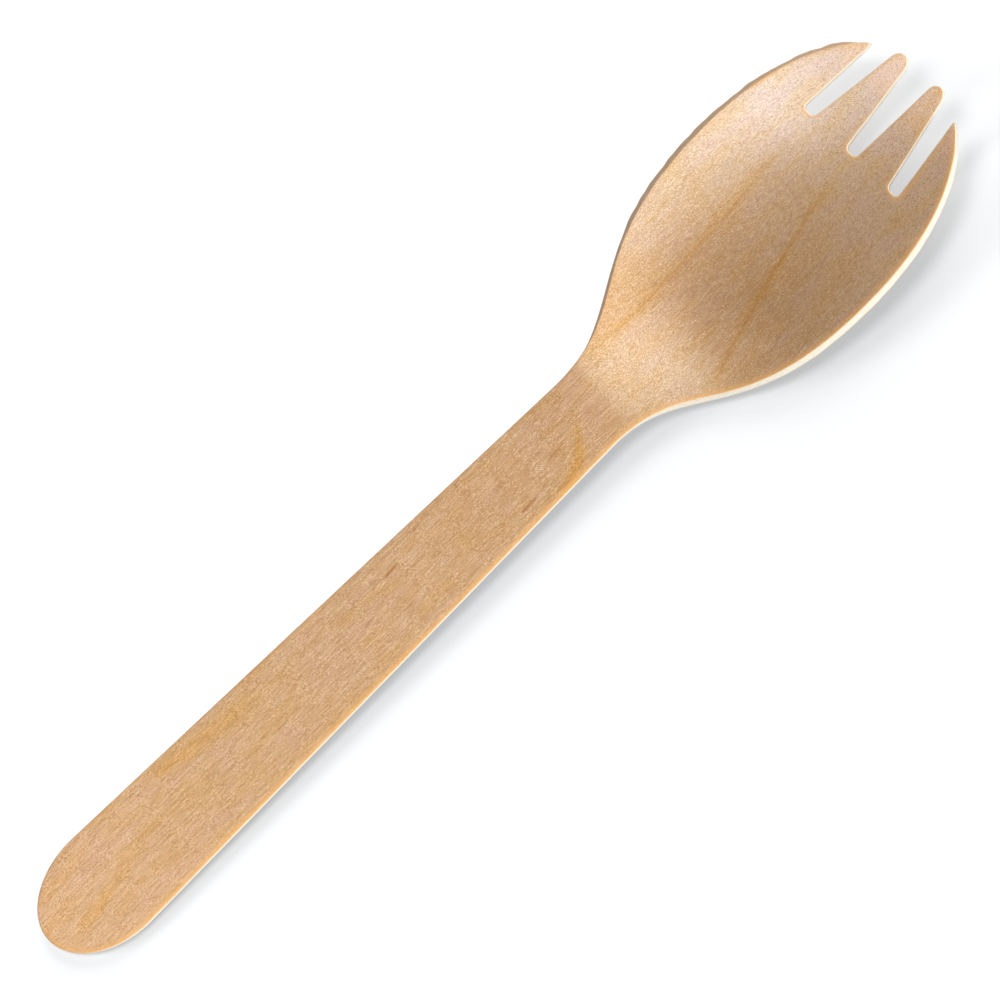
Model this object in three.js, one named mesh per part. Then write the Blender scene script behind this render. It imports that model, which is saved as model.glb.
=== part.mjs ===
// Wooden spork: one sheet of birch veneer, cut to an outline and pressed into handle, bowl and tines.
// Millimetres. The flat blank lies in x and y, with x running from the end of the handle to the tines.
import * as THREE from 'three';
import { mergeVertices } from 'three/addons/utils/BufferGeometryUtils.js';

// Sheet
const LENGTH = 160;
const THICKNESS = 1.6;

// Handle: a half ellipse at the end, then a straight taper to the neck
const END_REACH = 11;
const END_HALF_WIDTH = 7.43;
const NECK_STATION = 97;
const NECK_HALF_WIDTH = 5.44;

// Bowl: an S curve from the neck to the widest station, then a superellipse to the tines
const NECK_REACH = 13.9;
const FLARE_REACH = 22.9;
const WIDEST_STATION = 133.7;
const WIDEST_HALF_WIDTH = 16.06;
const TIP_REACH = 26.85;
const TIP_POWER = 2.16;

// Slots: the outer two lean in towards the axis, and all three are turned a little to one side.
// The rim is cut square to the sheet, and the slots and the points of the tines are cut upright.
const SLOT_ROOT = 145.7;
const ROOT_REACH = 0.8;
const ROOT_POWER = 2.6;
const SLOT_HALF_WIDTH = 0.955;
const SLOT_PITCH = 7.64;
const SLOT_LEAN = 0.138;
const SLOT_TURN = 0.0255;
const CENTRE_SLOT_FLARE = 0.085;
const OUTER_SLOT_FLARE = 0.039;
const UPRIGHT_REACH = 2;
const POINT_REACH = 5;

// Tines: the middle two are round ended and the left of them is shorter.
// The outer two come to a small blunt point.
const LEFT_TINE_CUT = 0.35;
const MIDDLE_TINE_ROUND = 1.35;
const OUTER_TINE_ROUND = 0.5;
const OUTER_TINE_WIDTH = 0.35;

// Press form: a drop behind the neck, a climb towards the tines, and a dish across
const BEND_STATION = 97.5;
const FLOOR_STATION = 117;
const BOWL_DROP = 3.1;
const TINE_CLIMB = 7.6;
const DISH_STATION = 108;
const BOWL_DISH = 0.0148;
const TINE_DISH = 0.0085;

// Fineness of the rim curves and of the facets. The sheet is meshed in lanes, one for each tine.
const RIM_STEPS = 120;
const END_STEPS = 10;
const HANDLE_STEPS = 8;
const BOWL_STEPS = 38;
const ROOT_ROW = END_STEPS + HANDLE_STEPS + BOWL_STEPS;
const TINE_STEPS = 16;
const LANES = 4;
const LANE_STEPS = 6;
const SLOPE_STEP = 0.01;
const TINY = 1e-6;

const BIRCH = new THREE.MeshStandardMaterial({ color: 0xcda57b, roughness: 0.55, metalness: 0 });

const UP = new THREE.Vector3(0, 0, 1);
const clamp = THREE.MathUtils.clamp;
const lerp = THREE.MathUtils.lerp;

// Evenly spaced values, leaving out the first
function spread(from, to, steps) {
  return Array.from({ length: steps }, (_, step) => lerp(from, to, (step + 1) / steps));
}

// Half outline of the blank, from the handle end to the tip
function rimPoints() {
  const handleEnd = new THREE.Vector2(END_REACH, END_HALF_WIDTH);
  const neck = new THREE.Vector2(NECK_STATION, NECK_HALF_WIDTH);
  const widest = new THREE.Vector2(WIDEST_STATION, WIDEST_HALF_WIDTH);
  const handleDirection = neck.clone().sub(handleEnd).normalize();
  const neckControl = neck.clone().addScaledVector(handleDirection, NECK_REACH);
  const flareControl = new THREE.Vector2(WIDEST_STATION - FLARE_REACH, WIDEST_HALF_WIDTH);
  const end = new THREE.EllipseCurve(END_REACH, 0, END_REACH, END_HALF_WIDTH, Math.PI, Math.PI / 2, true);
  const flare = new THREE.CubicBezierCurve(neck, neckControl, flareControl, widest);
  const tip = spread(0, 1, RIM_STEPS).map(tipPoint);
  return [...end.getPoints(RIM_STEPS), ...flare.getPoints(RIM_STEPS), ...tip];
}

// Point on the superellipse round the tip, from the widest station at 0 to the axis at 1
function tipPoint(share) {
  const angle = share * Math.PI / 2;
  const reach = TIP_REACH * Math.sin(angle) ** (2 / TIP_POWER);
  const half = WIDEST_HALF_WIDTH * Math.cos(angle) ** (2 / TIP_POWER);
  return new THREE.Vector2(WIDEST_STATION + reach, half);
}

const RIM = rimPoints();

// Half width of the blank at a station, between the nearest two rim points
function halfWidth(x) {
  const next = clamp(RIM.findIndex((point) => point.x >= x), 1, RIM.length - 1);
  const before = RIM[next - 1];
  const after = RIM[next];
  return lerp(before.y, after.y, clamp((x - before.x) / (after.x - before.x), 0, 1));
}

// Slot numbers are -1, 0 and 1, and the line through their roots is turned with them
function slotRoot(slot) {
  return SLOT_ROOT - SLOT_TURN * SLOT_PITCH * slot;
}

// Ahead of the roots the centre lines carry on as grid lines in the sheet
function slotCentre(slot, x) {
  const root = slotRoot(slot);
  const atRoot = slot * SLOT_PITCH;
  if (x <= root) {
    return atRoot * halfWidth(x) / halfWidth(root);
  }
  return atRoot + (SLOT_TURN - slot * SLOT_LEAN) * (x - root);
}

function slotHalfWidth(slot, x) {
  const along = Math.max(x - slotRoot(slot), 0);
  const flare = slot === 0 ? CENTRE_SLOT_FLARE : OUTER_SLOT_FLARE;
  const opening = roundEnd(along / ROOT_REACH, ROOT_POWER);
  return SLOT_HALF_WIDTH * opening + flare * Math.max(along - ROOT_REACH, 0);
}

// Share of the full width at a share of the way into a rounded end
function roundEnd(share, power) {
  return (1 - (1 - clamp(share, 0, 1)) ** power) ** (1 / power);
}

// Edges of a lane before its end is rounded. Lanes 0 and 3 run out to the rim, 1 and 2 lie between slots.
function rawEdges(lane, x) {
  const low = lane === 0 ? -halfWidth(x) : slotCentre(lane - 2, x) + slotHalfWidth(lane - 2, x);
  const high = lane === LANES - 1 ? halfWidth(x) : slotCentre(lane - 1, x) - slotHalfWidth(lane - 1, x);
  return { low, high };
}

const isOuter = (lane) => lane === 0 || lane === LANES - 1;

// Station where a tine ends: the outer ones stop where the rim and the slot nearly meet
function tineEnd(lane) {
  if (!isOuter(lane)) {
    return lane === LANES / 2 ? LENGTH - LEFT_TINE_CUT : LENGTH;
  }
  let wide = SLOT_ROOT;
  let narrow = LENGTH;
  while (narrow - wide > TINY) {
    const middle = (wide + narrow) / 2;
    const { low, high } = rawEdges(lane, middle);
    if (high - low > OUTER_TINE_WIDTH) {
      wide = middle;
    } else {
      narrow = middle;
    }
  }
  return wide;
}

const TINE_ENDS = Array.from({ length: LANES }, (_, lane) => tineEnd(lane));

// Edges of a lane with its end rounded off
function laneEdges(lane, x) {
  const { low, high } = rawEdges(lane, x);
  const round = isOuter(lane) ? OUTER_TINE_ROUND : MIDDLE_TINE_ROUND;
  const middle = (low + high) / 2;
  const half = (high - low) / 2 * roundEnd((TINE_ENDS[lane] - x) / round, 2);
  return { low: middle - half, high: middle + half };
}

// Smooth step with flat, straight ends
function ease(share) {
  const q = clamp(share, 0, 1);
  return q ** 3 * (10 + q * (6 * q - 15));
}

// Height of the middle of the sheet over the plane of the handle
function sheetHeight(x, y) {
  const drop = BOWL_DROP * ease((x - BEND_STATION) / (FLOOR_STATION - BEND_STATION));
  const climb = TINE_CLIMB * Math.max(0, (x - FLOOR_STATION) / (LENGTH - FLOOR_STATION)) ** 2;
  const towardsTines = clamp((x - WIDEST_STATION) / (LENGTH - WIDEST_STATION), 0, 1);
  const pastNeck = ease((x - BEND_STATION) / (DISH_STATION - BEND_STATION));
  const dish = lerp(BOWL_DISH, TINE_DISH, towardsTines) * pastNeck;
  return climb - drop + dish * y * y;
}

// Share by which the cut stands upright: none along the rim, full beside the slots and at the points
function uprightShare(x, y) {
  const inTines = ease((x - SLOT_ROOT + UPRIGHT_REACH) / UPRIGHT_REACH);
  const fromRim = clamp((halfWidth(x) - Math.abs(y)) / UPRIGHT_REACH, 0, 1);
  const toPoint = clamp((x - TINE_ENDS[0]) / POINT_REACH + 1, 0, 1);
  return inTines * Math.max(fromRim, toPoint);
}

// Point of the pressed sheet, offset from its middle along the cut
function sheetPoint(x, y, offset) {
  const slopeX = (sheetHeight(x + SLOPE_STEP, y) - sheetHeight(x - SLOPE_STEP, y)) / (2 * SLOPE_STEP);
  const slopeY = (sheetHeight(x, y + SLOPE_STEP) - sheetHeight(x, y - SLOPE_STEP)) / (2 * SLOPE_STEP);
  const normal = new THREE.Vector3(-slopeX, -slopeY, 1).normalize();
  const cut = normal.lerp(UP, uprightShare(x, y));
  return new THREE.Vector3(x, y, sheetHeight(x, y)).addScaledVector(cut, offset);
}

// Stations along one edge of a lane, close together at the handle end, at the slot root and at the tine end
function edgeStations(lane, slot) {
  const root = slotRoot(slot);
  const reach = TINE_ENDS[lane] - root;
  const end = spread(0, Math.PI / 2, END_STEPS).map((angle) => END_REACH * (1 - Math.cos(angle)));
  const handle = spread(END_REACH, NECK_STATION, HANDLE_STEPS);
  const bowl = spread(NECK_STATION, root, BOWL_STEPS);
  const tine = spread(0, Math.PI, TINE_STEPS).map((angle) => root + reach * (1 - Math.cos(angle)) / 2);
  return [0, ...end, ...handle, ...bowl, ...tine];
}

// Rows of blank points from the low edge of one lane to its high edge
function laneRows(lane) {
  const highStations = edgeStations(lane, lane - 1);
  return edgeStations(lane, lane - 2).map((lowStation, row) => {
    const low = new THREE.Vector2(lowStation, laneEdges(lane, lowStation).low);
    const high = new THREE.Vector2(highStations[row], laneEdges(lane, highStations[row]).high);
    return [low, ...spread(0, 1, LANE_STEPS).map((share) => low.clone().lerp(high, share))];
  });
}

// Adds a four-cornered patch as two triangles, leaving out any that has no area
function addPatch(corners, positions) {
  const [a, b, c, d] = corners;
  for (const triangle of [[a, b, c], [a, c, d]]) {
    if (new THREE.Triangle(...triangle).getArea() > TINY) {
      positions.push(...triangle.flatMap((corner) => corner.toArray()));
    }
  }
}

// Both faces of one lane, and its cut edges wherever no other lane joins it
function addLane(lane, positions) {
  const rows = laneRows(lane);
  const top = (point) => sheetPoint(point.x, point.y, THICKNESS / 2);
  const under = (point) => sheetPoint(point.x, point.y, -THICKNESS / 2);
  for (let row = 1; row < rows.length; row += 1) {
    const back = rows[row - 1];
    const front = rows[row];
    for (let step = 1; step <= LANE_STEPS; step += 1) {
      const corners = [back[step - 1], front[step - 1], front[step], back[step]];
      addPatch(corners.map(top), positions);
      addPatch(corners.reverse().map(under), positions);
    }
    const inTine = row > ROOT_ROW;
    if (inTine || lane === 0) {
      addPatch([under(back[0]), under(front[0]), top(front[0]), top(back[0])], positions);
    }
    if (inTine || lane === LANES - 1) {
      const last = LANE_STEPS;
      addPatch([under(front[last]), under(back[last]), top(back[last]), top(front[last])], positions);
    }
  }
}

// Slope of the table under the spork, which lies on the end of its handle and the bottom of its bowl
function restSlope() {
  const heel = sheetPoint(0, 0, -THICKNESS / 2);
  const bowl = spread(BEND_STATION, SLOT_ROOT, RIM_STEPS).map((x) => sheetPoint(x, 0, -THICKNESS / 2));
  return Math.max(...bowl.map((point) => (heel.z - point.z) / (point.x - heel.x)));
}

function sporkGeometry() {
  const positions = [];
  for (let lane = 0; lane < LANES; lane += 1) {
    addLane(lane, positions);
  }
  const soup = new THREE.BufferGeometry();
  soup.setAttribute('position', new THREE.Float32BufferAttribute(positions, 3));
  const geometry = mergeVertices(soup);
  geometry.rotateY(-Math.atan(restSlope()));
  geometry.computeBoundingBox();
  const box = geometry.boundingBox;
  geometry.translate(-(box.min.x + box.max.x) / 2, -(box.min.y + box.max.y) / 2, -box.min.z);
  geometry.computeVertexNormals();
  return geometry;
}

const spork = new THREE.Mesh(sporkGeometry(), BIRCH);
spork.name = 'spork';

const part = new THREE.Group();
part.name = 'wooden_spork';
part.add(spork);

export default part;
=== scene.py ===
"""Looks of the wooden spork: a fine mesh of birch veneer with rounded edges, lit on a white floor."""
import math

import bpy
import numpy as np
from mathutils import Matrix, Vector, kdtree, noise
from mathutils.geometry import delaunay_2d_cdt


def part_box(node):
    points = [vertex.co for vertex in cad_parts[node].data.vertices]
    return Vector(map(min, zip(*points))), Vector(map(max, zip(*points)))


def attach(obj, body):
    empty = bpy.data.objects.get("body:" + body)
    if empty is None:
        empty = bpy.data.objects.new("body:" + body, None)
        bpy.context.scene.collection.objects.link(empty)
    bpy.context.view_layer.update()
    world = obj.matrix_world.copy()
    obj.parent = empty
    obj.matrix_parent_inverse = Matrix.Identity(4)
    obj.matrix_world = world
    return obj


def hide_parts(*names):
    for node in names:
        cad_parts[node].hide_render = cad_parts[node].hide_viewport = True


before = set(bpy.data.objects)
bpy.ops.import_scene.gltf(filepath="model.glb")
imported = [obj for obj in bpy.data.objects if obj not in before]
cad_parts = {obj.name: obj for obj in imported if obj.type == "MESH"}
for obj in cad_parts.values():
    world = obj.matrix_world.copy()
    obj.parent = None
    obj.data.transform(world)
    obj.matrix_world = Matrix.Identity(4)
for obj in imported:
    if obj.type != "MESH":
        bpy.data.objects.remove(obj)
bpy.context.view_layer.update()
cad_low, cad_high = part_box("spork")

MM = 0.001

# Sheet and outline, in metres along the flat blank from the end of the handle
LENGTH = 160 * MM
THICKNESS = 1.6 * MM
END_REACH = 11 * MM
END_HALF_WIDTH = 7.43 * MM
NECK_STATION = 97 * MM
NECK_HALF_WIDTH = 5.44 * MM
NECK_REACH = 13.9 * MM
FLARE_REACH = 22.9 * MM
WIDEST_STATION = 133.7 * MM
WIDEST_HALF_WIDTH = 16.06 * MM
TIP_REACH = 26.85 * MM
TIP_POWER = 2.16

# Slots and tines
SLOT_ROOT = 145.7 * MM
ROOT_REACH = 0.8 * MM
ROOT_POWER = 2.6
SLOT_HALF_WIDTH = 0.955 * MM
SLOT_PITCH = 7.64 * MM
SLOT_LEAN = 0.138
SLOT_TURN = 0.0255
CENTRE_SLOT_FLARE = 0.085
OUTER_SLOT_FLARE = 0.039
UPRIGHT_REACH = 2 * MM
POINT_REACH = 5 * MM
LEFT_TINE_CUT = 0.35 * MM
MIDDLE_TINE_ROUND = 1.35 * MM
OUTER_TINE_ROUND = 0.5 * MM
OUTER_TINE_WIDTH = 0.35 * MM
LANES = 4

# Torn lower edge of the rim
TEAR_DEPTH = 0.2 * MM
TEAR_MEAN = 0.55
TEAR_LENGTH = 3 * MM
TEAR_START = 113 * MM
TEAR_REACH = 10 * MM
TEAR_TIP_REACH = 3 * MM
TEAR_RIGHT_SHARE = 0.3

# Press form
BEND_STATION = 97.5 * MM
FLOOR_STATION = 117 * MM
BOWL_DROP = 3.1 * MM
TINE_CLIMB = 7.6 * MM
DISH_STATION = 108 * MM
BOWL_DISH = 0.0148 / MM
TINE_DISH = 0.0085 / MM

# Fineness of the mesh
EDGE_ROUND = 0.15 * MM
ROUND_STEPS = 3
OUTLINE_STEP = 0.2 * MM
BOWL_GRID = 0.5 * MM
HANDLE_GRID = 1.5 * MM
RIM_STEPS = 200
BODY_STEPS = 1000
TINE_STEPS = 120
END_SEARCH_STEPS = 20000
SLOPE_STEP = 0.01 * MM
TINY = 1e-9

# Looks: tones along the sheet, by share of its length from the handle end, with both ends first
# Besides the wood's own tone these hold painted light: a paler handle end, a painted highlight on the neck
# slope (0.69), painted shade in the bowl (0.78, 0.88) and a painted sheen on the tines (1.0)
VENEER_TONES_AND_PAINTED_LIGHT = (
    (0.0, (0.80, 0.475, 0.25)),
    (1.0, (0.80, 0.575, 0.42)),
    (0.20, (0.68, 0.41, 0.203)),
    (0.60, (0.60, 0.349, 0.168)),
    (0.69, (0.65, 0.385, 0.20)),
    (0.78, (0.555, 0.335, 0.176)),
    (0.88, (0.57, 0.368, 0.21)),
)

# Patches and bands of colour: noise scales per millimetre, and what the tones are multiplied by
PATCH_SCALE = (0.14, 0.50, 0.50)
WARM_PATCH = (1.0, 0.95, 0.80)
COOL_PATCH = (0.99, 0.99, 1.10)
BAND_SCALE = (0.012, 0.9, 0.9)
BAND = (0.93, 0.90, 0.84)
BAND_STRENGTH = 0.6

# Grain: noise scales per millimetre, stations in millimetres between which it changes, colours and depth
FIBRE_SCALE = (0.4, 7.2, 7.2)
FLECK_SCALE = (6.6, 9.0, 9.0)
GRAIN_CHANGE = (12.0, 35.0)
FLECK_SHARE = (0.62, 0.65)
GRAIN_CONTRAST = (1.04, 0.9)
LIGHT_FIBRE = (0.93, 0.71, 0.49)
LIGHT_STRENGTH = 0.68
DARK_FIBRE = (0.42, 0.205, 0.078)
DARK_STRENGTH = 0.86
GRAIN_DEPTH = 0.035 * MM
VENEER_ROUGHNESS = (0.42, 0.54)
VENEER_IOR = 1.5

# Colours along the edges of the faces: strength, and how far they reach in from the cut
EDGE_ORANGE = (0.86, 0.46, 0.16)
WIDE_TINT = 0.55
WIDE_TINT_REACH = (0.2 * MM, 0.95 * MM)
THIN_TINT = 0.7
THIN_TINT_REACH = (0.1 * MM, 0.6 * MM)
# painted highlight: a fine pale line along the cut corners of the slots
SLOT_HIGHLIGHT = (0.95, 0.84, 0.68)
SLOT_HIGHLIGHT_STRENGTH = 0.75
SLOT_HIGHLIGHT_REACH = (0.06 * MM, 0.2 * MM)

# Where those colours change, in millimetres along and across the spork
WIDE_TINT_STOP = (58.0, 64.0)
RIGHT_RIM = (-9.0, -6.5)
RIGHT_TO_LEFT = (-2.0, 4.0)
THIN_TINT_START = (60.0, 64.0)
ROOTS_STOP = (65.5, 67.5)
SLOT_HIGHLIGHT_START = (62.0, 65.0)
SLOT_HIGHLIGHT_SIDE = (9.0, 10.0)

# Cut edge
CUT_FIBRE_SCALE = (0.6, 5.0, 5.0)
CREAM = (0.67, 0.61, 0.49)
PALE_CREAM = (0.76, 0.72, 0.61)
CUT_PAINTED_SHADE = (0.65, 0.375, 0.195)
CUT_TOASTED = (0.62, 0.34, 0.13)
CUT_TINT = 0.8
CUT_ROUGHNESS = 0.7
CUT_DEPTH = 0.04 * MM

# Stains along the grain, and bands of painted sheen and painted shade: start, end, bow and width in
# millimetres, strength, colour to multiply by
STAIN_AND_SHADE_FADE_IN = 0.15
STAIN_AND_SHADE_FADE_OUT = 0.6
STREAK = (0.90, 0.76, 0.45)
MARK = (0.72, 0.50, 0.26)
ORANGE = (1.04, 0.92, 0.56)
# painted shade along the floor of the bowl, where the rim shadows it
PAINTED_BOWL_SHADE = (0.82, 0.795, 0.74)
YELLOW = (1.0, 0.94, 0.74)
# painted sheen on the left tines
PAINTED_TINE_SHEEN = (1.20, 1.30, 1.46)
# painted sheen on the left wall of the bowl and a painted highlight on the neck slope
PAINTED_SHEEN = (1.20, 1.36, 1.57)
WARM_END = (1.12, 1.05, 0.95)
# painted shade on the right wall of the bowl, which faces away from the lamps
SHADED = (0.85, 0.81, 0.74)
STAINS_AND_SHADING = (
    ((33, 0.5), (82, 0.5), 0.0, 12.0, 1.0, PAINTED_BOWL_SHADE),
    ((36, -7.5), (100, -14), 0.0, 10.0, 1.0, SHADED),
    ((56, 8), (112, -3), 0.0, 11.0, 1.0, PAINTED_TINE_SHEEN),
    ((26, 17), (82, 15), 0.0, 13.0, 1.0, PAINTED_SHEEN),
    ((20, 1), (36.5, -4), 0.0, 15.0, 0.85, PAINTED_SHEEN),
    ((72, 0), (100, 0), 0.0, 34.0, 1.0, WARM_END),
    ((20, 5.2), (66, 7.3), -0.5, 1.8, 0.8, YELLOW),
    ((24, 5.2), (66, 7.3), -0.5, 0.45, 0.55, STREAK),
    ((30, -9.4), (68, 0.3), 1.0, 1.6, 0.8, YELLOW),
    ((31, -9.2), (66, 0.0), 1.0, 0.45, 0.65, STREAK),
    ((-15.9, 3.1), (-12.9, 3.2), 0.0, 0.3, 1.0, MARK),
    ((2.6, -3.4), (6.0, -3.3), 0.0, 0.35, 1.0, MARK),
    ((9.5, -1.0), (13.5, -0.6), 0.0, 0.3, 0.6, MARK),
    ((7, -5.6), (18, 2.6), -2.4, 1.7, 1.0, ORANGE),
    ((-57, 5.8), (-34, 2.8), 0.0, 2.2, 0.9, YELLOW),
    ((-80, -3.4), (-56, 2.2), 0.0, 1.6, 0.8, YELLOW),
)

# View: straight down, tilted towards the right edge of the spork, which runs up to the right
VIEW_TILT = math.radians(8)
VIEW_ROLL = math.radians(44.26)
VIEW_TARGET = Vector((1.89 * MM, -0.11 * MM, 3 * MM))
VIEW_DISTANCE = 2.0
VIEW_WIDTH = 129.66 * MM
VIEW_CLIP = 20
SENSOR_WIDTH = 36

# Stage
FLOOR_SIZE = 8
FLOOR_WHITE = 0.42
FLOOR_ROUGHNESS = 0.9
FLOOR_GLOW = (0.455, 0.475, 0.49)
WORLD_HORIZON = (0.05, 0.3)
WORLD_OVERHEAD = 0.1

# Lamps: name, turn and elevation in degrees, strength, angle in degrees, and whether it makes highlights
SPORK_LAMPS = (
    ("key", 338, 20, 2.72, 45, False),
    ("lower_fill", 285, 45, 1.2, 40, True),
    ("upper_fill", 66, 42, 1.62, 40, True),
)
FLOOR_LAMPS = (
    ("floor_top", 157, 75, 1.70, 20, True),
    ("floor_left", 180, 35, 1.70, 20, True),
    ("floor_upper", 90, 25, 3.45, 50, True),
)


# Form of the pressed sheet

def ease(share):
    q = np.clip(share, 0, 1)
    return q ** 3 * (10 + q * (6 * q - 15))


def round_end(share, power):
    return (1 - (1 - np.clip(share, 0, 1)) ** power) ** (1 / power)


def rim_points():
    """Half outline of the blank: half ellipse, straight taper, S curve and superellipse."""
    quarter = np.linspace(0, math.pi / 2, RIM_STEPS)
    end_x = END_REACH * (1 - np.cos(quarter))
    end_y = END_HALF_WIDTH * np.sin(quarter)
    taper = np.array([NECK_STATION - END_REACH, NECK_HALF_WIDTH - END_HALF_WIDTH])
    taper /= np.linalg.norm(taper)
    neck = np.array([NECK_STATION, NECK_HALF_WIDTH])
    widest = np.array([WIDEST_STATION, WIDEST_HALF_WIDTH])
    neck_control = neck + taper * NECK_REACH
    flare_control = widest - np.array([FLARE_REACH, 0])
    t = np.linspace(0, 1, RIM_STEPS)[:, None]
    flare = (1 - t) ** 3 * neck + 3 * t * (1 - t) ** 2 * neck_control
    flare = flare + 3 * t ** 2 * (1 - t) * flare_control + t ** 3 * widest
    tip_x = WIDEST_STATION + TIP_REACH * np.sin(quarter[1:]) ** (2 / TIP_POWER)
    tip_y = WIDEST_HALF_WIDTH * np.clip(np.cos(quarter[1:]), 0, 1) ** (2 / TIP_POWER)
    return np.r_[end_x, flare[:, 0], tip_x], np.r_[end_y, flare[:, 1], tip_y]


RIM_X, RIM_Y = rim_points()


def half_width(x):
    return np.interp(x, RIM_X, RIM_Y)


def slot_root(slot):
    return SLOT_ROOT - SLOT_TURN * SLOT_PITCH * slot


def slot_edge(slot, side, x):
    """One edge of slot -1, 0 or 1, from its root on."""
    along = np.maximum(x - slot_root(slot), 0)
    flare = OUTER_SLOT_FLARE if slot else CENTRE_SLOT_FLARE
    half = SLOT_HALF_WIDTH * round_end(along / ROOT_REACH, ROOT_POWER)
    half = half + flare * np.maximum(along - ROOT_REACH, 0)
    return slot * SLOT_PITCH + (SLOT_TURN - slot * SLOT_LEAN) * along + side * half


def raw_edges(lane, x):
    low = -half_width(x) if lane == 0 else slot_edge(lane - 2, 1, x)
    high = half_width(x) if lane == LANES - 1 else slot_edge(lane - 1, -1, x)
    return low, high


def is_outer(lane):
    return lane in (0, LANES - 1)


def tine_end(lane):
    """Station where a tine ends: the outer ones stop where the rim and the slot nearly meet."""
    if not is_outer(lane):
        return LENGTH - LEFT_TINE_CUT if lane == LANES // 2 else LENGTH
    x = np.linspace(SLOT_ROOT, LENGTH, END_SEARCH_STEPS)
    low, high = raw_edges(lane, x)
    return x[np.argmax(high - low < OUTER_TINE_WIDTH)]


TINE_ENDS = [tine_end(lane) for lane in range(LANES)]


def lane_edges(lane, x):
    low, high = raw_edges(lane, x)
    reach = OUTER_TINE_ROUND if is_outer(lane) else MIDDLE_TINE_ROUND
    middle = (low + high) / 2
    half = (high - low) / 2 * round_end((TINE_ENDS[lane] - x) / reach, 2)
    return middle - half, middle + half


def sheet_height(x, y):
    drop = BOWL_DROP * ease((x - BEND_STATION) / (FLOOR_STATION - BEND_STATION))
    climb = TINE_CLIMB * np.maximum(0, (x - FLOOR_STATION) / (LENGTH - FLOOR_STATION)) ** 2
    towards_tines = np.clip((x - WIDEST_STATION) / (LENGTH - WIDEST_STATION), 0, 1)
    past_neck = ease((x - BEND_STATION) / (DISH_STATION - BEND_STATION))
    dish = (BOWL_DISH + (TINE_DISH - BOWL_DISH) * towards_tines) * past_neck
    return climb - drop + dish * y * y


def sheet_points(x, y, offset):
    """Points of the pressed sheet, offset from its middle along the cut."""
    slope_x = (sheet_height(x + SLOPE_STEP, y) - sheet_height(x - SLOPE_STEP, y)) / (2 * SLOPE_STEP)
    slope_y = (sheet_height(x, y + SLOPE_STEP) - sheet_height(x, y - SLOPE_STEP)) / (2 * SLOPE_STEP)
    normal = np.stack([-slope_x, -slope_y, np.ones_like(x)], axis=-1)
    normal /= np.linalg.norm(normal, axis=-1, keepdims=True)
    in_tines = ease((x - SLOT_ROOT + UPRIGHT_REACH) / UPRIGHT_REACH)
    from_rim = np.clip((half_width(x) - np.abs(y)) / UPRIGHT_REACH, 0, 1)
    to_point = np.clip((x - TINE_ENDS[0]) / POINT_REACH + 1, 0, 1)
    upright = (in_tines * np.maximum(from_rim, to_point))[..., None]
    cut = normal + (np.array([0.0, 0.0, 1.0]) - normal) * upright
    return np.stack([x, y, sheet_height(x, y)], axis=-1) + cut * np.asarray(offset)[..., None]


def rest_slope():
    x = np.linspace(BEND_STATION, SLOT_ROOT, RIM_STEPS)
    under = sheet_points(x, np.zeros_like(x), np.full_like(x, -THICKNESS / 2))
    return np.max((-THICKNESS / 2 - under[:, 2]) / under[:, 0])


def laid_down(points):
    """The pressed sheet turned onto its handle end and bowl, and set on the middle of the frame."""
    slope = math.atan(rest_slope())
    x = points[:, 0] * math.cos(slope) - points[:, 2] * math.sin(slope)
    z = points[:, 0] * math.sin(slope) + points[:, 2] * math.cos(slope)
    y = points[:, 1]
    middle_x = (cad_low[0] + cad_high[0]) / 2
    middle_y = (cad_low[1] + cad_high[1]) / 2
    x = x - (x.min() + x.max()) / 2 + middle_x
    y = y - (y.min() + y.max()) / 2 + middle_y
    return np.stack([x, y, z - z.min() + cad_low[2]], axis=-1)


# Mesh of the sheet

def spaced(points, step):
    """A closed path with points evenly spaced along it."""
    closed = np.vstack([points, points[:1]])
    along = np.r_[0, np.cumsum(np.linalg.norm(np.diff(closed, axis=0), axis=1))]
    at = np.linspace(0, along[-1], round(along[-1] / step), endpoint=False)
    return np.stack([np.interp(at, along, closed[:, axis]) for axis in (0, 1)], axis=-1)


def outline():
    """The cut outline, counter-clockwise from the handle end, in and out of the slots."""
    turn = np.linspace(0, math.pi / 2, RIM_STEPS)
    body = np.r_[END_REACH * (1 - np.cos(turn)), np.linspace(END_REACH, SLOT_ROOT, BODY_STEPS)[1:]]
    swing = (1 - np.cos(np.linspace(0, math.pi, TINE_STEPS))) / 2
    path = []
    for lane in range(LANES):
        for side, slot in enumerate((lane - 2, lane - 1)):
            start = slot_root(slot) if abs(slot) < 2 else SLOT_ROOT
            edge = start + (TINE_ENDS[lane] - start) * swing
            edge = edge if abs(slot) < 2 else np.r_[body, edge]
            points = np.stack([edge, lane_edges(lane, edge)[side]], axis=-1)
            path.append(points[::-1] if side else points)
    return spaced(np.vstack(path), OUTLINE_STEP)


def inward_normals(path):
    along = np.roll(path, -1, axis=0) - np.roll(path, 1, axis=0)
    along /= np.linalg.norm(along, axis=1, keepdims=True)
    return np.stack([-along[:, 1], along[:, 0]], axis=-1)


def edge_rounding(path, inward):
    """Rounding of the cut edge at each outline point, smaller where the sheet runs to a point."""
    span = path[None, :, :] - path[:, None, :]
    ahead = np.einsum("ijk,ik->ij", span, inward)
    reach = np.einsum("ijk,ijk->ij", span, span)
    circle = np.where(ahead > TINY, reach / (2 * np.maximum(ahead, TINY)), np.inf)
    return np.minimum(EDGE_ROUND, 0.5 * circle.min(axis=1))


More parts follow.
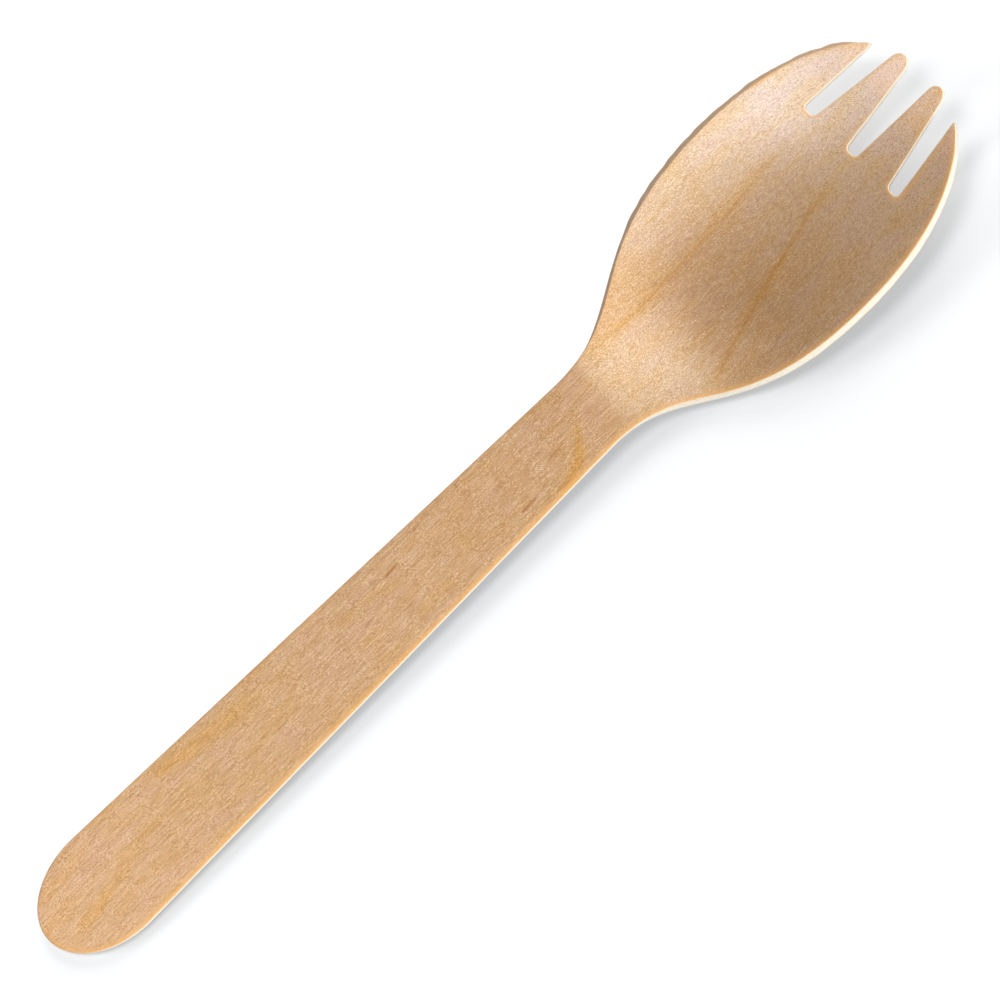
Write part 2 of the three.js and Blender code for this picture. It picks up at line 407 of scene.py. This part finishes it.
def tear(path):
    """How far the lower edge of the rim is torn outwards, unevenly and mostly on the left of the bowl."""
    rough = np.array([noise.fractal((x / TEAR_LENGTH, y / TEAR_LENGTH, 0), 1.0, 2.0, 2) for x, y in path])
    depth = TEAR_DEPTH * np.clip(TEAR_MEAN + rough, 0, 1)
    x, y = path.T
    on_rim = np.abs(y) > half_width(x) - BOWL_GRID
    in_bowl = ease((x - TEAR_START) / TEAR_REACH) * ease((TINE_ENDS[0] - x) / TEAR_TIP_REACH)
    return depth * on_rim * in_bowl * np.where(y > 0, 1, TEAR_RIGHT_SHARE)


def inside_points(path):
    """Points across the sheet, finer in the bowl and tines, and clear of the outline."""
    tree = kdtree.KDTree(len(path))
    for index, point in enumerate(path):
        tree.insert((point[0], point[1], 0), index)
    tree.balance()
    found = []
    for start, stop, grid in ((0, BEND_STATION, HANDLE_GRID), (BEND_STATION, LENGTH, BOWL_GRID)):
        for row, x in enumerate(np.arange(start + grid / 2, stop, grid * math.sqrt(3) / 2)):
            lanes = [(-half_width(x), half_width(x))]
            if x > SLOT_ROOT:
                lanes = [lane_edges(lane, x) for lane in range(LANES) if x < TINE_ENDS[lane]]
            for low, high in lanes:
                shift = grid / 2 * (row % 2)
                across = np.arange(math.ceil(low / grid) * grid + shift, high, grid)
                found.extend((x, y) for y in across)
    clear = EDGE_ROUND + BOWL_GRID / 2
    return np.array([p for p in found if tree.find((p[0], p[1], 0))[2] > clear]), tree


def sheet_mesh():
    path = outline()
    count = len(path)
    inward = inward_normals(path)
    rounding = edge_rounding(path, inward)
    inner, tree = inside_points(path)
    border = path + inward * rounding[:, None]
    flat = np.vstack([border, inner])
    loop = list(range(count))
    _, _, cells, sources, _, _ = delaunay_2d_cdt([Vector(p) for p in flat], [], [loop], 1, TINY)
    triangles = [[sources[corner][0] for corner in cell] for cell in cells]

    # Loops round the edge, from the border of the upper face to the border of the lower one
    quarter = np.linspace(0, math.pi / 2, ROUND_STEPS + 1)
    inset = np.r_[1 - np.sin(quarter), (1 - np.sin(quarter))[::-1]]
    sink = np.r_[1 - np.cos(quarter), (1 - np.cos(quarter))[::-1]]
    side = np.r_[np.ones(ROUND_STEPS + 1), -np.ones(ROUND_STEPS + 1)]
    blank = [np.c_[flat, np.full(len(flat), THICKNESS / 2)]]
    for share, down, sign in list(zip(inset, sink, side))[1:-1]:
        ring = path + inward * (rounding * share)[:, None]
        blank.append(np.c_[ring, sign * (THICKNESS / 2 - rounding * down)])
    blank.append(np.c_[flat, np.full(len(flat), -THICKNESS / 2)])
    blank = np.vstack(blank)

    # Faces, with the flat of the cut edge as the second material
    lower = len(blank) - len(flat)
    rings = [0] + [len(flat) + count * ring for ring in range(len(inset) - 2)] + [lower]
    faces = triangles + [[lower + corner for corner in face[::-1]] for face in triangles]
    slots = [0] * len(faces)
    for number, (upper, below) in enumerate(zip(rings, rings[1:])):
        for here in range(count):
            there = (here + 1) % count
            faces.append([upper + here, below + here, below + there, upper + there])
            slots.append(int(number == ROUND_STEPS))

    mesh = bpy.data.meshes.new("spork_sheet")
    points = laid_down(sheet_points(blank[:, 0], blank[:, 1], blank[:, 2]))
    torn = -inward * tear(path)[:, None]
    for ring in rings[ROUND_STEPS + 1:]:
        points[ring:ring + count, :2] += torn
    mesh.from_pydata(points.tolist(), [], faces)
    mesh.polygons.foreach_set("material_index", slots)
    mesh.polygons.foreach_set("use_smooth", [True] * len(faces))
    distance = [tree.find((p[0], p[1], 0))[2] for p in blank]
    mesh.attributes.new("edge_distance", "FLOAT", "POINT").data.foreach_set("value", distance)
    mesh.validate()
    return mesh


# Materials

class Nodes:
    """Short calls for building one material's node tree."""

    def __init__(self, name):
        self.material = bpy.data.materials.new(name)
        self.material.use_nodes = True
        self.tree = self.material.node_tree
        self.shader = self.tree.nodes["Principled BSDF"]
        coordinates = self.tree.nodes.new("ShaderNodeTexCoord")
        self.place = self.scaled(coordinates.outputs["Object"], (1 / MM, 1 / MM, 1 / MM))
        axes = self.tree.nodes.new("ShaderNodeSeparateXYZ")
        self.set(axes.inputs["Vector"], self.place)
        self.x = axes.outputs["X"]
        self.y = axes.outputs["Y"]
        facing = self.tree.nodes.new("ShaderNodeSeparateXYZ")
        self.set(facing.inputs["Vector"], coordinates.outputs["Normal"])
        self.facing_x = facing.outputs["X"]
        self.facing_y = facing.outputs["Y"]

    def set(self, socket, value):
        if isinstance(value, bpy.types.NodeSocket):
            self.tree.links.new(value, socket)
        else:
            socket.default_value = value

    def scaled(self, vector, scale):
        node = self.tree.nodes.new("ShaderNodeVectorMath")
        node.operation = "MULTIPLY"
        self.set(node.inputs[0], vector)
        node.inputs[1].default_value = scale
        return node.outputs["Vector"]

    def math(self, operation, *values):
        node = self.tree.nodes.new("ShaderNodeMath")
        node.operation = operation
        for socket, value in zip(node.inputs, values):
            self.set(socket, value)
        return node.outputs["Value"]

    def remap(self, value, low, high, to_low=0.0, to_high=1.0, smooth=True):
        node = self.tree.nodes.new("ShaderNodeMapRange")
        node.interpolation_type = "SMOOTHSTEP" if smooth else "LINEAR"
        for name, item in (("Value", value), ("From Min", low), ("From Max", high)):
            self.set(node.inputs[name], item)
        self.set(node.inputs["To Min"], to_low)
        self.set(node.inputs["To Max"], to_high)
        return node.outputs["Result"]

    def noise(self, scale, detail=2.0, roughness=0.5):
        node = self.tree.nodes.new("ShaderNodeTexNoise")
        self.set(node.inputs["Vector"], self.scaled(self.place, scale))
        node.inputs["Scale"].default_value = 1
        node.inputs["Detail"].default_value = detail
        node.inputs["Roughness"].default_value = roughness
        return node.outputs["Fac"]

    def colour(self, value):
        return value if isinstance(value, bpy.types.NodeSocket) else (*value, 1)

    def mix(self, share, first, second, blend="MIX"):
        node = self.tree.nodes.new("ShaderNodeMix")
        node.data_type = "RGBA"
        node.blend_type = blend
        self.set(node.inputs["Factor"], share)
        self.set(node.inputs["A"], self.colour(first))
        self.set(node.inputs["B"], self.colour(second))
        return node.outputs["Result"]

    def blend(self, share, first, second):
        node = self.tree.nodes.new("ShaderNodeMix")
        self.set(node.inputs["Factor"], share)
        self.set(node.inputs["A"], first)
        self.set(node.inputs["B"], second)
        return node.outputs["Result"]

    def attribute(self, name):
        node = self.tree.nodes.new("ShaderNodeAttribute")
        node.attribute_name = name
        return node.outputs["Fac"]

    def stain_and_shade_band(self, start, end, bow, width, strength):
        """A band along the grain, for a stain, a painted sheen or a painted shade, from start to end in
        millimetres, bowed sideways in its middle.
        """
        run = self.math("DIVIDE", self.math("SUBTRACT", self.x, start[0]), end[0] - start[0])
        line = self.math("MULTIPLY_ADD", run, end[1] - start[1], start[1])
        arch = self.math("MULTIPLY", self.math("MULTIPLY", run, self.math("SUBTRACT", 1.0, run)), 4 * bow)
        away = self.math("ABSOLUTE", self.math("SUBTRACT", self.y, self.math("ADD", line, arch)))
        across = self.remap(away, 0.0, width, 1.0, 0.0)
        fade_in = self.remap(run, 0.0, STAIN_AND_SHADE_FADE_IN)
        fade = self.math("MULTIPLY", fade_in, self.remap(run, STAIN_AND_SHADE_FADE_OUT, 1.0, 1.0, 0.0))
        return self.math("MULTIPLY", self.math("MULTIPLY", across, fade), strength)

    def bump(self, height, distance):
        node = self.tree.nodes.new("ShaderNodeBump")
        node.inputs["Distance"].default_value = distance
        self.set(node.inputs["Height"], height)
        self.set(self.shader.inputs["Normal"], node.outputs["Normal"])


def veneer_colour(n):
    """Tan along the sheet, pale at both ends and deepest in the bowl, with soft patches and bands; the pale
    ends, the bright neck and the deep bowl are partly painted light and painted shade.
    """
    half_length = LENGTH / MM / 2
    ramp = n.tree.nodes.new("ShaderNodeValToRGB")
    n.set(ramp.inputs["Fac"], n.remap(n.x, -half_length, half_length, smooth=False))
    stops = ramp.color_ramp.elements
    for index, (place, colour) in enumerate(VENEER_TONES_AND_PAINTED_LIGHT):
        stop = stops[index] if index < 2 else stops.new(1.0)
        stop.position = place
        stop.color = (*colour, 1)
    patches = n.noise(PATCH_SCALE, detail=3)
    tan = n.mix(n.remap(patches, 0.48, 0.62), ramp.outputs["Color"], WARM_PATCH, "MULTIPLY")
    tan = n.mix(n.remap(patches, 0.48, 0.36), tan, COOL_PATCH, "MULTIPLY")
    bands = n.noise(BAND_SCALE, detail=2)
    return n.mix(n.remap(bands, 0.45, 0.68, 0.0, BAND_STRENGTH), tan, BAND, "MULTIPLY")


def veneer_grain(n):
    """Fibres along the sheet mixed with short flecks, of which the bowl and tines have a little more."""
    fibres = n.noise(FIBRE_SCALE, detail=2, roughness=0.7)
    flecks = n.noise(FLECK_SCALE, detail=1, roughness=0.6)
    return n.blend(n.remap(n.x, *GRAIN_CHANGE, *FLECK_SHARE), fibres, flecks)


def edge_tint(n):
    """Share of the orange colour along the cut: a wide band, mostly on the right, and a thin one round the
    tines.
    """
    distance = n.attribute("edge_distance")
    body = n.math("MAXIMUM", n.remap(n.x, *WIDE_TINT_STOP, 1.0, 0.0), n.remap(n.y, *RIGHT_RIM, 1.0, 0.0))
    side = n.math("MULTIPLY", n.remap(n.y, *RIGHT_TO_LEFT, 1.0, 0.2), body)
    wide = n.math("MULTIPLY", n.remap(distance, *WIDE_TINT_REACH, WIDE_TINT, 0.0), side)
    root = n.math("MULTIPLY", n.remap(n.x, *THIN_TINT_START), n.remap(n.x, *ROOTS_STOP, 1.0, 0.45))
    thin = n.math("MULTIPLY", n.remap(distance, *THIN_TINT_REACH, THIN_TINT, 0.0), root)
    return n.math("MAXIMUM", wide, thin)


def slot_highlight(n):
    """Share of the painted highlight, a fine pale line along the cut corners of the slots."""
    corner = n.remap(n.attribute("edge_distance"), *SLOT_HIGHLIGHT_REACH, SLOT_HIGHLIGHT_STRENGTH, 0.0)
    beside = n.remap(n.math("ABSOLUTE", n.y), *SLOT_HIGHLIGHT_SIDE, 1.0, 0.0)
    return n.math("MULTIPLY", corner, n.math("MULTIPLY", n.remap(n.x, *SLOT_HIGHLIGHT_START), beside))


def veneer_material():
    n = Nodes("birch_veneer")
    grain = veneer_grain(n)
    tan = veneer_colour(n)
    contrast = n.remap(n.x, *GRAIN_CHANGE, *GRAIN_CONTRAST)
    light = n.remap(grain, 0.51, 0.63, 0.0, n.math("MULTIPLY", contrast, LIGHT_STRENGTH))
    dark = n.remap(grain, 0.49, 0.37, 0.0, n.math("MULTIPLY", contrast, DARK_STRENGTH))
    tan = n.mix(light, tan, LIGHT_FIBRE)
    tan = n.mix(dark, tan, DARK_FIBRE)
    # stains, and bands of painted sheen and painted shade
    for start, end, bow, width, strength, colour in STAINS_AND_SHADING:
        tan = n.mix(n.stain_and_shade_band(start, end, bow, width, strength), tan, colour, "MULTIPLY")
    tan = n.mix(edge_tint(n), tan, EDGE_ORANGE)
    tan = n.mix(slot_highlight(n), tan, SLOT_HIGHLIGHT)
    n.set(n.shader.inputs["Base Color"], tan)
    n.set(n.shader.inputs["Roughness"], n.remap(grain, 0.3, 0.7, *VENEER_ROUGHNESS))
    n.shader.inputs["IOR"].default_value = VENEER_IOR
    n.bump(grain, GRAIN_DEPTH)
    return n.material


def cut_edge_material():
    """Cream where it faces right, browner facing left as painted shade, and toasted where the cut crosses
    the grain.
    """
    n = Nodes("birch_cut_edge")
    fibres = n.noise(CUT_FIBRE_SCALE, detail=3, roughness=0.6)
    cut = n.mix(n.remap(fibres, 0.3, 0.7), CREAM, PALE_CREAM)
    # painted shade: browner where the cut faces left, away from the lamps
    cut = n.mix(n.remap(n.facing_y, -0.3, 0.3, 0.0, CUT_TINT), cut, CUT_PAINTED_SHADE)
    across = n.math("ABSOLUTE", n.facing_x)
    cut = n.mix(n.remap(across, 0.55, 0.95, 0.0, CUT_TINT), cut, CUT_TOASTED)
    n.set(n.shader.inputs["Base Color"], cut)
    n.shader.inputs["Roughness"].default_value = CUT_ROUGHNESS
    n.bump(fibres, CUT_DEPTH)
    return n.material


# Spork

sheet = bpy.data.objects.new("spork_sheet", sheet_mesh())
bpy.context.scene.collection.objects.link(sheet)
sheet.data.materials.append(veneer_material())
sheet.data.materials.append(cut_edge_material())
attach(sheet, "root")
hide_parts("spork")


# Floor, light and camera

def floor_object():
    """White floor that shines softly of itself to the eye, so that only part of its light can be shaded."""
    bpy.ops.mesh.primitive_plane_add(size=FLOOR_SIZE)
    floor = bpy.context.object
    floor.name = "floor"
    material = bpy.data.materials.new("white_floor")
    material.use_nodes = True
    tree = material.node_tree
    shader = tree.nodes["Principled BSDF"]
    shader.inputs["Base Color"].default_value = (FLOOR_WHITE, FLOOR_WHITE, FLOOR_WHITE, 1)
    shader.inputs["Roughness"].default_value = FLOOR_ROUGHNESS
    shader.inputs["Specular IOR Level"].default_value = 0
    shader.inputs["Emission Color"].default_value = (*FLOOR_GLOW, 1)
    path = tree.nodes.new("ShaderNodeLightPath")
    seen = path.outputs["Is Camera Ray"]
    for name in ("Is Glossy Ray", "Is Transmission Ray"):
        either = tree.nodes.new("ShaderNodeMath")
        either.operation = "MAXIMUM"
        tree.links.new(seen, either.inputs[0])
        tree.links.new(path.outputs[name], either.inputs[1])
        seen = either.outputs["Value"]
    tree.links.new(seen, shader.inputs["Emission Strength"])
    floor.data.materials.append(material)
    return floor


def sun(name, turn, elevation, strength, angle, glossy, lit):
    """A soft lamp on one object alone. Its turn is counted from the picture's right towards its top."""
    lamp = bpy.data.lights.new(name, "SUN")
    lamp.energy = strength
    lamp.angle = math.radians(angle)
    item = bpy.data.objects.new(name, lamp)
    around = math.radians(turn) - VIEW_ROLL
    rise = math.radians(elevation)
    level = math.cos(rise)
    towards = Vector((math.cos(around) * level, math.sin(around) * level, math.sin(rise)))
    item.rotation_euler = towards.to_track_quat("Z", "Y").to_euler()
    item.visible_glossy = glossy
    bpy.context.scene.collection.objects.link(item)
    receivers = bpy.data.collections.new(name + "_lit")
    receivers.objects.link(lit)
    item.light_linking.receiver_collection = receivers


def studio_world():
    """White near the horizon, dim overhead."""
    world = bpy.data.worlds.new("studio")
    bpy.context.scene.world = world
    world.use_nodes = True
    tree = world.node_tree
    direction = tree.nodes.new("ShaderNodeTexCoord")
    axes = tree.nodes.new("ShaderNodeSeparateXYZ")
    tree.links.new(direction.outputs["Generated"], axes.inputs["Vector"])
    fall = tree.nodes.new("ShaderNodeMapRange")
    fall.interpolation_type = "SMOOTHSTEP"
    fall.inputs["From Min"].default_value = WORLD_HORIZON[0]
    fall.inputs["From Max"].default_value = WORLD_HORIZON[1]
    fall.inputs["To Min"].default_value = 1
    fall.inputs["To Max"].default_value = WORLD_OVERHEAD
    tree.links.new(axes.outputs["Z"], fall.inputs["Value"])
    light = tree.nodes["Background"]
    light.inputs["Color"].default_value = (1, 1, 1, 1)
    tree.links.new(fall.outputs["Result"], light.inputs["Strength"])


def camera_object():
    data = bpy.data.cameras.new("camera")
    data.sensor_width = SENSOR_WIDTH
    data.lens = SENSOR_WIDTH * VIEW_DISTANCE / VIEW_WIDTH
    data.clip_end = VIEW_CLIP
    camera = bpy.data.objects.new("camera", data)
    along = Vector((1, 0, 0))
    across = Vector((0, math.cos(VIEW_TILT), math.sin(VIEW_TILT)))
    back = Vector((0, -math.sin(VIEW_TILT), math.cos(VIEW_TILT)))
    right = along * math.cos(VIEW_ROLL) - across * math.sin(VIEW_ROLL)
    up = along * math.sin(VIEW_ROLL) + across * math.cos(VIEW_ROLL)
    turn = Matrix((right, up, back)).transposed().to_4x4()
    camera.matrix_world = Matrix.Translation(VIEW_TARGET + back * VIEW_DISTANCE) @ turn
    bpy.context.scene.collection.objects.link(camera)
    bpy.context.scene.camera = camera


floor = floor_object()
studio_world()
for lamp_values in SPORK_LAMPS:
    sun(*lamp_values, sheet)
for lamp_values in FLOOR_LAMPS:
    sun(*lamp_values, floor)
camera_object()
bpy.context.scene.view_settings.view_transform = "Standard"
